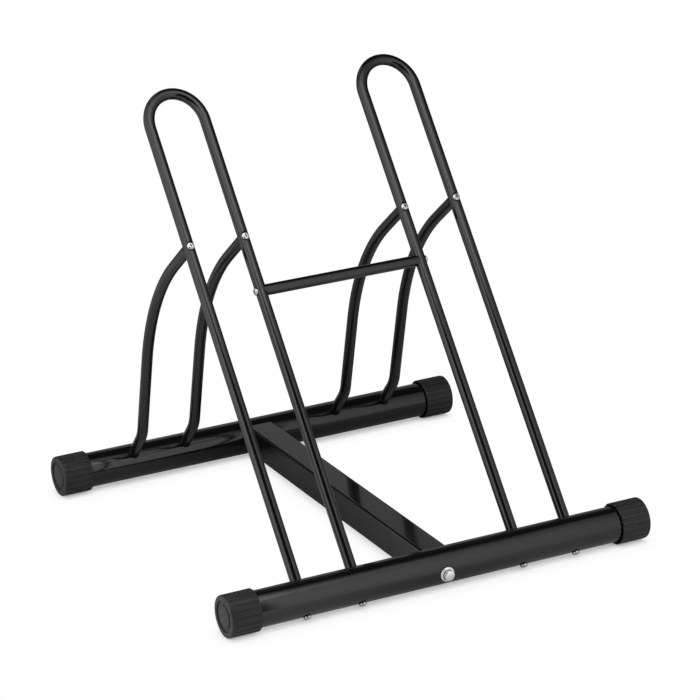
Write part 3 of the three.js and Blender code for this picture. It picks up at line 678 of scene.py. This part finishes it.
class Finish:
    """A material with helpers for its procedural nodes."""

    def __init__(self, name, metallic=0.0, ior=1.5):
        self.material = bpy.data.materials.new(name)
        self.material.use_nodes = True
        self.tree = self.material.node_tree
        self.shader = self.tree.nodes["Principled BSDF"]
        self.shader.inputs["Metallic"].default_value = metallic
        self.shader.inputs["IOR"].default_value = ior
        self.place = self.node("ShaderNodeTexCoord").outputs["Object"]

    def node(self, kind, **settings):
        made = self.tree.nodes.new(kind)
        for name, value in settings.items():
            setattr(made, name, value)
        return made

    def link(self, output, target):
        self.tree.links.new(output, target)

    def noise(self, scale, detail, stretch=None):
        texture = self.node("ShaderNodeTexNoise")
        texture.inputs["Scale"].default_value = scale
        texture.inputs["Detail"].default_value = detail
        place = self.place
        if stretch:
            mapping = self.node("ShaderNodeMapping")
            mapping.inputs["Scale"].default_value = stretch
            self.link(place, mapping.inputs["Vector"])
            place = mapping.outputs["Vector"]
        self.link(place, texture.inputs["Vector"])
        return texture.outputs["Fac"]

    def remap(self, value, low_in, high_in, low, high):
        mapped = self.node("ShaderNodeMapRange")
        ends = {"From Min": low_in, "From Max": high_in, "To Min": low, "To Max": high}
        for name, number in ends.items():
            mapped.inputs[name].default_value = number
        self.link(value, mapped.inputs["Value"])
        return mapped.outputs["Result"]

    def spread(self, texture, low, high):
        """The usual range of a noise, stretched from low to high."""
        return self.remap(texture, *NOISE_RANGE, low, high)

    def scaled(self, value, factor):
        return self.combine("MULTIPLY", value, factor)

    def combine(self, operation, first, second):
        made = self.node("ShaderNodeMath", operation=operation)
        for index, value in enumerate((first, second)):
            if isinstance(value, (int, float)):
                made.inputs[index].default_value = value
            else:
                self.link(value, made.inputs[index])
        return made.outputs["Value"]

    def edge_mask(self, radius):
        """1 along convex edges, 0 elsewhere."""
        bevel = self.node("ShaderNodeBevel", samples=4)
        bevel.inputs["Radius"].default_value = radius
        geometry = self.node("ShaderNodeNewGeometry")
        turn = self.node("ShaderNodeVectorMath", operation="DOT_PRODUCT")
        self.link(bevel.outputs["Normal"], turn.inputs[0])
        self.link(geometry.outputs["Normal"], turn.inputs[1])
        return self.remap(turn.outputs["Value"], *EDGE_TURN, 0.0, 1.0)

    def recess_mask(self, reach):
        """0 in the open and 1 deep in a groove."""
        occlusion = self.node("ShaderNodeAmbientOcclusion", samples=8)
        occlusion.inputs["Distance"].default_value = reach
        return self.remap(occlusion.outputs["AO"], *RECESS_OPENNESS, 0.0, 1.0)

    def colours(self, value, low, high):
        mix = self.node("ShaderNodeMix", data_type="RGBA")
        mix.inputs["A"].default_value = (*low, 1)
        mix.inputs["B"].default_value = (*high, 1)
        self.link(value, mix.inputs["Factor"])
        self.link(mix.outputs["Result"], self.shader.inputs["Base Color"])

    def rough(self, value):
        self.link(value, self.shader.inputs["Roughness"])

    def bump(self, height, distance):
        made = self.node("ShaderNodeBump")
        made.inputs["Distance"].default_value = distance
        self.link(height, made.inputs["Height"])
        self.link(made.outputs["Normal"], self.shader.inputs["Normal"])


def gloss_paint():
    """Black gloss coat with a faint orange peel, in shinier and duller patches and dull along the edges."""
    paint = Finish("black_gloss_paint")
    paint.colours(paint.noise(9, 2), (0.0024, 0.0025, 0.0028), (0.0046, 0.0047, 0.0051))
    patches = paint.spread(paint.noise(38, 4), 0.06, 0.1)
    dull_edges = paint.scaled(paint.edge_mask(0.0005), 0.12)
    paint.rough(paint.combine("ADD", patches, dull_edges))
    paint.bump(paint.noise(420, 2), 0.00002)
    return paint.material


def cap_plastic():
    """Charcoal moulded plastic with a fine grain, paler on worn crests, dull in its grooves and with shade
    painted into them.
    """
    plastic = Finish("charcoal_cap_plastic", ior=1.4)
    groove_shade_and_dullness = plastic.recess_mask(0.004)
    worn_edges = plastic.scaled(plastic.edge_mask(0.0006), 0.35)
    tone = plastic.combine("ADD", plastic.noise(60, 4), worn_edges)
    # painted shade: the colour is darkened where ambient occlusion finds a groove
    tone = plastic.combine("SUBTRACT", tone, plastic.scaled(groove_shade_and_dullness, 0.6))
    plastic.colours(tone, (0.010, 0.010, 0.0105), (0.023, 0.023, 0.024))
    grain = plastic.spread(plastic.noise(300, 3), 0.42, 0.58)
    plastic.rough(plastic.combine("ADD", grain, plastic.scaled(groove_shade_and_dullness, 0.4)))
    plastic.bump(plastic.noise(2600, 3), 0.00004)
    return plastic.material


def zinc_plate(name, light):
    """Zinc with fine scratches and a cloudy lustre, with shade painted into its recesses. light is its
    palest tone.
    """
    zinc = Finish(name, metallic=1.0)
    clouds = zinc.spread(zinc.noise(700, 4), 0.8, 1.0)
    # painted shade: the tone is darkened where ambient occlusion finds a recess
    tone = zinc.combine("SUBTRACT", clouds, zinc.scaled(zinc.recess_mask(0.002), 0.8))
    zinc.colours(tone, (0.04, 0.04, 0.04), (light, light, 0.99 * light))
    zinc.rough(zinc.spread(zinc.noise(1500, 4), 0.2, 0.36))
    zinc.bump(zinc.noise(2500, 2, stretch=(1, 1, 6)), 0.00001)
    return zinc.material


def plain_steel():
    """Machined steel, dull from the turning marks."""
    steel = Finish("plain_steel", metallic=1.0)
    steel.colours(steel.noise(400, 4), (0.36, 0.36, 0.37), (0.55, 0.55, 0.56))
    steel.rough(steel.spread(steel.noise(900, 4), 0.35, 0.55))
    steel.bump(steel.noise(1800, 2, stretch=(8, 1, 1)), 0.00002)
    return steel.material


# ---------------------------------------------------------------- the rack

PAINT = gloss_paint()
PLASTIC = cap_plastic()
BOLT_ZINC = zinc_plate("bolt_zinc_plate", 0.92)
SCREW_ZINC = zinc_plate("screw_zinc_plate", 0.58)
STEEL = plain_steel()

base_tube("front_base_tube", FRONT_AXIS, UP_LEG, PAINT)
base_tube("rear_base_tube", REAR_AXIS, UP_STRUT_FOOT, PAINT)
for row, axis in (("front", FRONT_AXIS), ("rear", REAR_AXIS)):
    for hand, side in (("left", -1), ("right", 1)):
        end_cap(row, hand, axis, side, PLASTIC)
for hand, side in (("left", -1), ("right", 1)):
    wheel_loop(hand, side, PAINT)
for leg in LEG_X:
    rear_strut(leg, PAINT)
crossbar(PAINT)
centre_beam(PAINT)

for row, axis, way in (("front", FRONT_AXIS, -Y), ("rear", REAR_AXIS, Y)):
    flange_bolt(f"{row}_beam_bolt", axis + TUBE_SEAT * way - BOLT_DROP * Z, way, BOLT_ZINC)

foot_screw_length = TUBE_SEAT - ROD_FOOT_DEPTH + SCREW_GRIP
head_screw_length = HEAD_SEAT + ROD_SEAT + SCREW_GRIP
for leg, x in LEG_X.items():
    on_leg = FRONT_AXIS + x * X
    on_strut = REAR_AXIS + x * X
    seat = on_leg - TUBE_SEAT * UP_LEG
    screw(f"{leg}_leg_foot_screw", seat, -UP_LEG, X, foot_screw_length, SCREW_ZINC)
    seat = on_strut - TUBE_SEAT * UP_STRUT_FOOT
    screw(f"{leg}_strut_foot_screw", seat, -UP_STRUT_FOOT, X, foot_screw_length, SCREW_ZINC)
    seat = on_leg + STRUT_HEIGHT * UP_LEG - HEAD_SEAT * BEHIND_LEG
    screw(f"{leg}_strut_head_screw", seat, -BEHIND_LEG, UP_LEG, head_screw_length, SCREW_ZINC)
for hand, side in (("left", -1), ("right", 1)):
    seat = FRONT_AXIS + CROSSBAR_HEIGHT * UP_LEG + side * (LEG_X["right_inner"] + HEAD_SEAT) * X
    screw(f"{hand}_crossbar_screw", seat, side * X, UP_LEG, head_screw_length, SCREW_ZINC)

# The inserts and nuts inside the tubes are shown as they are.
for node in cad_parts.values():
    if not node.hide_render:
        node.data.materials.clear()
        node.data.materials.append(STEEL)

# ---------------------------------------------------------------- floor, light and camera

TENT_RADIUS = 1.1
TENT_STEP = 2  # degrees

# Lit cloth of the tent, in degrees. Azimuth 0 is the rear, 90 the right and 180 the front.
# (from azimuth, to azimuth, from elevation, to elevation, strength at the first azimuth, at the last,
# and the width over which both sides fade)
PANELS = (
    (-137, -18, -12, 68, 2.75, 0.45, 26),  # left softbox
    (90, 179, -12, 68, 0.25, 1.65, 7),  # scrim in front on the right
    (-2, 62, -12, 40, 0.44, 0.2, 12),  # far wall
    (-33, -1, 43, 63, 2.0, 2.0, 6),  # lamp above the rear
)
PANEL_HEM = 14  # height over which a panel fades at its top and bottom
PANEL_HEART = 38  # elevation at which a panel is brightest
PANEL_REACH = 45  # degrees from there at which it has lost the share below
PANEL_LOSS = 0.25

OVERHEAD_STRENGTH = 2.75
OVERHEAD_HEM = (51, 61)  # elevations between which the softbox above begins
OVERHEAD_WAY = Vector((-0.5, -0.85, 0))  # it brightens towards the front and the left
OVERHEAD_RISE = (-0.3, 0.32)  # between these two places along that way
OVERHEAD_STRIP = -0.09  # x of its brightest strip
OVERHEAD_STRIP_SIDES = (0.13, 0.4)  # distances in x from there between which it dims
OVERHEAD_STRIP_LOSS = 0.45

CLOTH_LOW = 0.2  # glow of the cloth between the panels, near the floor
CLOTH_HIGH = 0.03  # and overhead
CLOTH_HEIGHTS = (0.1, 0.4)  # heights between which it changes, over the tent's radius
ROOM_STRENGTH = 0.12

FLOOR_HALF = 14
# How bright gloss sees the floor: dark behind, brightening along each way between two places.
FLOOR_DARK = 0.12
FLOOR_DARK_AT = -0.6
FLOOR_LEFT = {"way": (-0.9, -0.44, 0), "lit_at": 1.0, "lit": 1.03}
FLOOR_FRONT = {"way": (-0.4, -0.92, 0), "lit_at": 0.75, "lit": 1.18}
FLOOR_UNDER_RACK = (0.12, 0.6)  # distance and power of the darkening near the rack
BEAM_SQUEEZE = (1, 0.4, 1)  # makes a long oval under the beam round
BEAM_DARK, BEAM_DARK_AT, BEAM_LIT_AT = 0.38, 0.02, 0.17
CONTACT_SHADOW = ((0.008, 0.26), (0.022, 0.1))  # the same for the camera, in two layers
PLAIN_WHITE = (0.75, 0.75, 0.75, 1)

CAMERA_PLACE = (-1.4292, -2.8709, 1.3614)
CAMERA_AZIMUTH = math.radians(-26.70)
CAMERA_ELEVATION = math.radians(20.101)
CAMERA_ROLL = math.radians(-1.757)
CAMERA_LENS = 167.14
CAMERA_SENSOR = 36
PHOTO_WIDTH = 700  # pixels


class Shading:
    """A node tree of the stage with short ways to add to it."""

    def __init__(self, owner):
        owner.use_nodes = True
        self.tree = owner.node_tree
        self.tree.nodes.clear()

    def node(self, kind, inputs=None, **settings):
        made = self.tree.nodes.new(kind)
        for name, value in settings.items():
            setattr(made, name, value)
        for name, value in (inputs or {}).items():
            if isinstance(value, bpy.types.NodeSocket):
                self.tree.links.new(value, made.inputs[name])
            else:
                made.inputs[name].default_value = value
        return made

    def math(self, operation, first, second):
        return self.node("ShaderNodeMath", {0: first, 1: second}, operation=operation).outputs["Value"]

    def vector_math(self, operation, first, second):
        return self.node("ShaderNodeVectorMath", {0: first, 1: second}, operation=operation).outputs

    def ease(self, value, low_in, high_in, low, high):
        """A smooth change from low at low_in to high at high_in."""
        ends = {"Value": value, "From Min": low_in, "From Max": high_in, "To Min": low, "To Max": high}
        return self.node("ShaderNodeMapRange", ends, interpolation_type="SMOOTHSTEP").outputs["Result"]

    def shown_rays(self):
        """1 for the rays that see the studio as it is shown: from the camera, and in gloss and glass."""
        path = self.node("ShaderNodeLightPath").outputs
        gloss = self.math("MAXIMUM", path["Is Glossy Ray"], path["Is Transmission Ray"])
        return self.math("MAXIMUM", path["Is Camera Ray"], gloss)

    def camera_rays(self):
        return self.node("ShaderNodeLightPath").outputs["Is Camera Ray"]


def white_floor():
    """White paper with a contact shadow. Gloss shows it bright in front and on the left, dim behind and
    darker near the rack."""
    floor = make_object("floor", (rectangle(FLOOR_HALF, FLOOR_HALF, 0), [(0, 1, 2, 3)]))
    material = bpy.data.materials.new("white_paper")
    shade = Shading(material)
    place = shade.node("ShaderNodeTexCoord").outputs["Object"]

    def openness(distance, power):
        occlusion = shade.node("ShaderNodeAmbientOcclusion", {"Distance": distance}, samples=12)
        return shade.math("POWER", occlusion.outputs["AO"], power)

    def lit_towards(way, lit_at, lit):
        along = shade.vector_math("DOT_PRODUCT", place, way)["Value"]
        return shade.ease(along, FLOOR_DARK_AT, lit_at, FLOOR_DARK, lit)

    lit = shade.math("MAXIMUM", lit_towards(**FLOOR_LEFT), lit_towards(**FLOOR_FRONT))
    squeezed = shade.vector_math("MULTIPLY", place, BEAM_SQUEEZE)["Vector"]
    from_beam = shade.node("ShaderNodeVectorMath", {0: squeezed}, operation="LENGTH").outputs["Value"]
    beside_beam = shade.ease(from_beam, BEAM_DARK_AT, BEAM_LIT_AT, BEAM_DARK, 1.0)
    in_gloss = shade.math("MULTIPLY", lit, openness(*FLOOR_UNDER_RACK))
    in_gloss = shade.math("MULTIPLY", in_gloss, beside_beam)
    near, wide = CONTACT_SHADOW
    contact = shade.math("MULTIPLY", openness(*near), openness(*wide))
    strength = shade.node("ShaderNodeMix", {
        "Factor": shade.camera_rays(), "A": in_gloss, "B": contact,
    }, data_type="FLOAT").outputs["Result"]
    glow = shade.node("ShaderNodeEmission", {"Strength": strength})
    plain = shade.node("ShaderNodeBsdfDiffuse", {"Color": PLAIN_WHITE})
    mix = shade.node("ShaderNodeMixShader", {
        "Fac": shade.shown_rays(), 1: plain.outputs["BSDF"], 2: glow.outputs["Emission"],
    })
    shade.node("ShaderNodeOutputMaterial", {"Surface": mix.outputs["Shader"]})
    floor.data.materials.append(material)


def studio_world():
    """White where it is seen, directly or in gloss, and a dim room for the light that it sheds."""
    world = bpy.data.worlds.new("studio")
    bpy.context.scene.world = world
    shade = Shading(world)
    strength = shade.math("MAXIMUM", shade.shown_rays(), ROOM_STRENGTH)
    background = shade.node("ShaderNodeBackground", {"Strength": strength})
    shade.node("ShaderNodeOutputWorld", {"Surface": background.outputs["Background"]})


def ramp(value, start, end):
    """0 at start and 1 at end, with a smooth rise between them."""
    return smoothstep((value - start) / (end - start))


def panel_glow(azimuth, elevation):
    glow = 0
    for from_azimuth, to_azimuth, low, high, first, last, fade in PANELS:
        turned = (azimuth - from_azimuth) % 360
        width = to_azimuth - from_azimuth
        if turned < width and low < elevation < high:
            inside = ramp(min(turned, width - turned), 0, fade)
            inside *= ramp(min(elevation - low, high - elevation), 0, PANEL_HEM)
            inside *= 1 - PANEL_LOSS * ((elevation - PANEL_HEART) / PANEL_REACH)**2
            glow = max(glow, inside * (first + (last - first) * turned / width))
    return glow


def overhead_glow(direction, elevation):
    glow = OVERHEAD_STRENGTH * ramp(direction.dot(OVERHEAD_WAY), *OVERHEAD_RISE)
    glow *= 1 - OVERHEAD_STRIP_LOSS * ramp(abs(direction.x - OVERHEAD_STRIP), *OVERHEAD_STRIP_SIDES)
    return glow * ramp(elevation, *OVERHEAD_HEM)


def unlit_glow(direction):
    """The dim cloth between the panels, darker overhead."""
    low, high = CLOTH_HEIGHTS
    share = min(1, max(0, (direction.z - low) / (high - low)))
    return CLOTH_LOW + (CLOTH_HIGH - CLOTH_LOW) * share


def light_tent():
    """A dome of cloth around the rack, lit where the softboxes stand behind it."""
    around = 360 // TENT_STEP
    vertices = []
    glow = []
    for elevation in range(0, 90 + TENT_STEP, TENT_STEP):
        for azimuth in range(0, 360, TENT_STEP):
            turn, rise = math.radians(azimuth), math.radians(elevation)
            level = math.cos(rise)
            direction = Vector((math.sin(turn) * level, math.cos(turn) * level, math.sin(rise)))
            vertices.append(TENT_RADIUS * direction)
            lit = max(panel_glow(azimuth, elevation), overhead_glow(direction, elevation))
            glow.append(max(lit, unlit_glow(direction)))
    faces = []
    for index in range(len(vertices) - around):
        beside = index + 1 if (index + 1) % around else index + 1 - around
        faces.append((index, beside, beside + around, index + around))
    tent = make_object("light_tent", (vertices, faces))
    attribute = tent.data.attributes.new("glow", "FLOAT", "POINT")
    attribute.data.foreach_set("value", glow)
    material = bpy.data.materials.new("lit_cloth")
    shade = Shading(material)
    strength = shade.node("ShaderNodeAttribute", attribute_name="glow").outputs["Fac"]
    cloth = shade.node("ShaderNodeEmission", {"Strength": strength})
    shade.node("ShaderNodeOutputMaterial", {"Surface": cloth.outputs["Emission"]})
    tent.data.materials.append(material)
    tent.visible_camera = False
    tent.visible_shadow = False


def camera():
    """The photograph's viewpoint. The angles place the camera's back, right and up directions."""
    level = math.cos(CAMERA_ELEVATION)
    back = Vector((math.sin(CAMERA_AZIMUTH) * level, -math.cos(CAMERA_AZIMUTH) * level,
                   math.sin(CAMERA_ELEVATION)))
    right = Vector((math.cos(CAMERA_AZIMUTH), math.sin(CAMERA_AZIMUTH), 0))
    up = back.cross(right)
    rolled_right = math.cos(CAMERA_ROLL) * right + math.sin(CAMERA_ROLL) * up
    rolled_up = -math.sin(CAMERA_ROLL) * right + math.cos(CAMERA_ROLL) * up
    data = bpy.data.cameras.new("camera")
    data.sensor_width = CAMERA_SENSOR
    data.lens = CAMERA_LENS
    half_pixel = 0.5 / PHOTO_WIDTH
    data.shift_x = -half_pixel
    data.shift_y = half_pixel
    data.clip_end = 100
    thing = bpy.data.objects.new("camera", data)
    bpy.context.scene.collection.objects.link(thing)
    turn = Matrix((rolled_right, rolled_up, back)).transposed().to_4x4()
    thing.matrix_world = Matrix.Translation(CAMERA_PLACE) @ turn
    bpy.context.scene.camera = thing


white_floor()
studio_world()
light_tent()
camera()

bpy.context.scene.view_settings.view_transform = "Standard"
